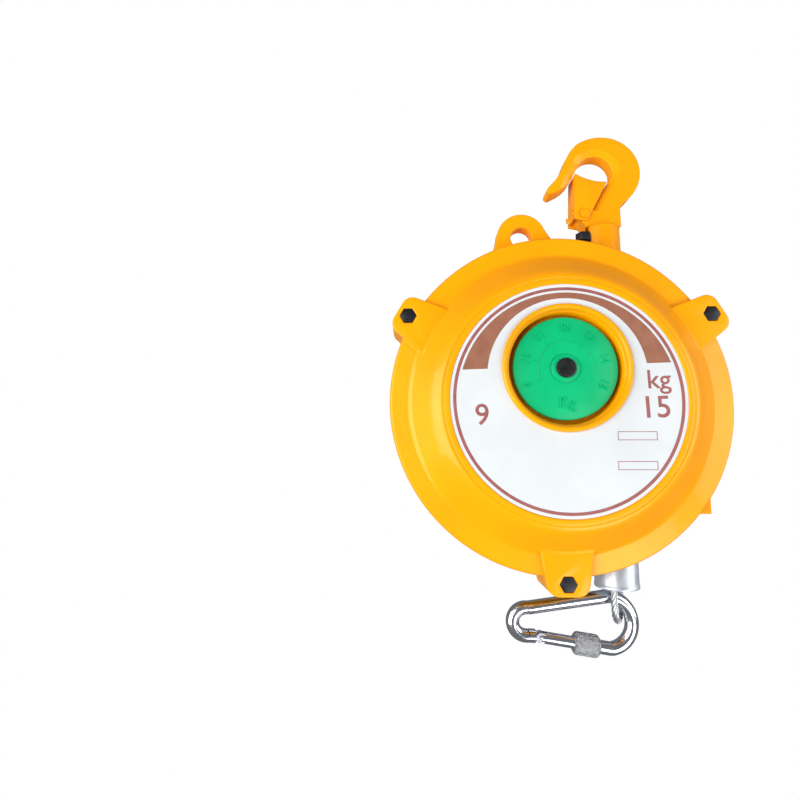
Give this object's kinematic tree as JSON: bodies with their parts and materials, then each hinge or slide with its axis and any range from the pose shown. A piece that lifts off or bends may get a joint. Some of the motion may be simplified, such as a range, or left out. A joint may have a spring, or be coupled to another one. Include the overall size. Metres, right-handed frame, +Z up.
{
  "type": "tool balancer",
  "caption": "Spring tool balancer: conical rope drum in a cast case, tension dial, swivelling safety hook, drum lock and a screw-lock carabiner on the rope.",
  "frame": {"origin": "in the bowl of the top hook at the height of its seat, on the swivel axis and the rope's line", "axes": "+X to the right seen from the dial, the dial faces -Y, +Z up; the rope runs down along -Z"},
  "size_m": [0.19, 0.0959, 0.33],
  "materials": {
    "yellow_paint": "glossy yellow-orange enamel over a casting",
    "white_label": "white enamelled label with plain numbers",
    "black_steel": "black oxide steel",
    "zinc_steel": "bright zinc-plated steel",
    "cast_aluminium": "cast and machined aluminium",
    "steel_rope": "stranded galvanised steel rope",
    "spring_steel": "blued spring steel",
    "bronze": "bearing bronze",
    "green_plastic": "green moulded plastic",
    "black_plastic": "black moulded tips",
    "black_rubber": "moulded black rubber"
  },
  "bodies": {
    "hook": {"top_hook": "yellow_paint", "swivel_collar": "yellow_paint", "stem_nut": "zinc_steel", "latch_pivot": "yellow_paint"},
    "case": {"front_cover": "yellow_paint", "rear_frame": "yellow_paint", "label_plate": "white_label", "cover_bolts": "black_steel", "main_axle": "black_steel", "rope_guide": "black_plastic", "hub_spacer": "bronze", "dial_pivot": "black_steel", "lock_bushing": "yellow_paint", "lock_spring": "spring_steel"},
    "latch": {"latch": "yellow_paint"},
    "drum": {"drum": "cast_aluminium", "rope_coil": "steel_rope", "rope_anchor": "black_steel", "drum_bushing": "bronze", "mainspring": "spring_steel", "spring_cover": "zinc_steel"},
    "arbor": {"arbor": "zinc_steel", "dial_pinion": "zinc_steel", "worm_wheel": "bronze"},
    "worm": {"worm_screw": "zinc_steel", "adjusting_nut": "black_steel"},
    "dial": {"dial": "green_plastic", "dial_gear": "green_plastic"},
    "lock_plunger": {"lock_collar": "zinc_steel"},
    "lock_handle": {"lock_pin": "black_steel", "lock_bar": "black_steel", "bar_tips": "black_plastic"},
    "rope_end": {"rope_run": "steel_rope", "bumper": "black_rubber", "ferrule": "cast_aluminium", "rope_eye": "steel_rope"},
    "carabiner": {"carabiner": "zinc_steel", "gate_pin": "zinc_steel"},
    "gate": {"gate": "zinc_steel"},
    "gate_sleeve": {"screw_sleeve": "zinc_steel"}
  },
  "joints": [
    {"name": "swivel", "type": "hinge", "parent": "hook", "child": "case", "pos_m": [0, 0, -0.072], "axis": [0, 0, 1], "continuous": true},
    {"name": "latch_hinge", "type": "hinge", "parent": "hook", "child": "latch", "pos_m": [-0.0124, 0, -0.0407], "axis": [0, 1, 0], "range_deg": [0, 35], "stiffness_Nm_per_rad": 0.02, "springref_deg": -34.38},
    {"name": "drum_spin", "type": "hinge", "parent": "case", "child": "drum", "pos_m": [-0.042, 0, -0.167], "axis": [0, 1, 0], "range_deg": [0, 1471], "stiffness_Nm_per_rad": 0.11, "springref_deg": -3609.63},
    {"name": "rope_payout", "type": "slide", "parent": "case", "child": "rope_end", "axis": [0, 0, -1], "range_m": [0, 1.5], "deforming": ["rope_run"]},
    {"name": "tension_adjust", "type": "hinge", "parent": "case", "child": "arbor", "pos_m": [-0.042, -0.0352, -0.167], "axis": [0, 1, 0], "range_deg": [-660, 660]},
    {"name": "worm_turn", "type": "hinge", "parent": "case", "child": "worm", "pos_m": [-0.0236, -0.0352, -0.167], "axis": [0, 0, 1], "range_deg": [-23760, 23760]},
    {"name": "dial_turn", "type": "hinge", "parent": "case", "child": "dial", "pos_m": [-0.042, -0.05, -0.1501], "axis": [0, 1, 0], "range_deg": [-120, 120]},
    {"name": "lock_pull", "type": "slide", "parent": "case", "child": "lock_plunger", "axis": [0, 1, 0], "range_m": [0, 0.008], "stiffness_N_per_m": 400, "springref_m": -0.01},
    {"name": "lock_turn", "type": "hinge", "parent": "lock_plunger", "child": "lock_handle", "pos_m": [-0.0255, 0.0353, -0.141], "axis": [0, 1, 0], "range_deg": [0, 50]},
    {"name": "carabiner_swing", "type": "hinge", "parent": "rope_end", "child": "carabiner", "pos_m": [-0.00765, 0, -0.2968], "axis": [0, 1, 0], "range_deg": [-100, 5]},
    {"name": "gate_hinge", "type": "hinge", "parent": "carabiner", "child": "gate", "pos_m": [-0.0473, 0, -0.30566], "axis": [0, 1, 0], "range_deg": [-20, 0], "stiffness_Nm_per_rad": 0.02, "springref_deg": 34.38},
    {"name": "sleeve_screw", "type": "slide", "parent": "gate", "child": "gate_sleeve", "axis": [0.9884, 0, -0.1521], "range_m": [0, 0.007]}
  ],
  "couplings": [
    {"joint": "rope_payout", "follows": "drum_spin", "m_per_rad": 0.0584},
    {"joint": "worm_turn", "follows": "tension_adjust", "ratio": 36},
    {"joint": "dial_turn", "follows": "tension_adjust", "ratio": -0.18182}
  ]
}
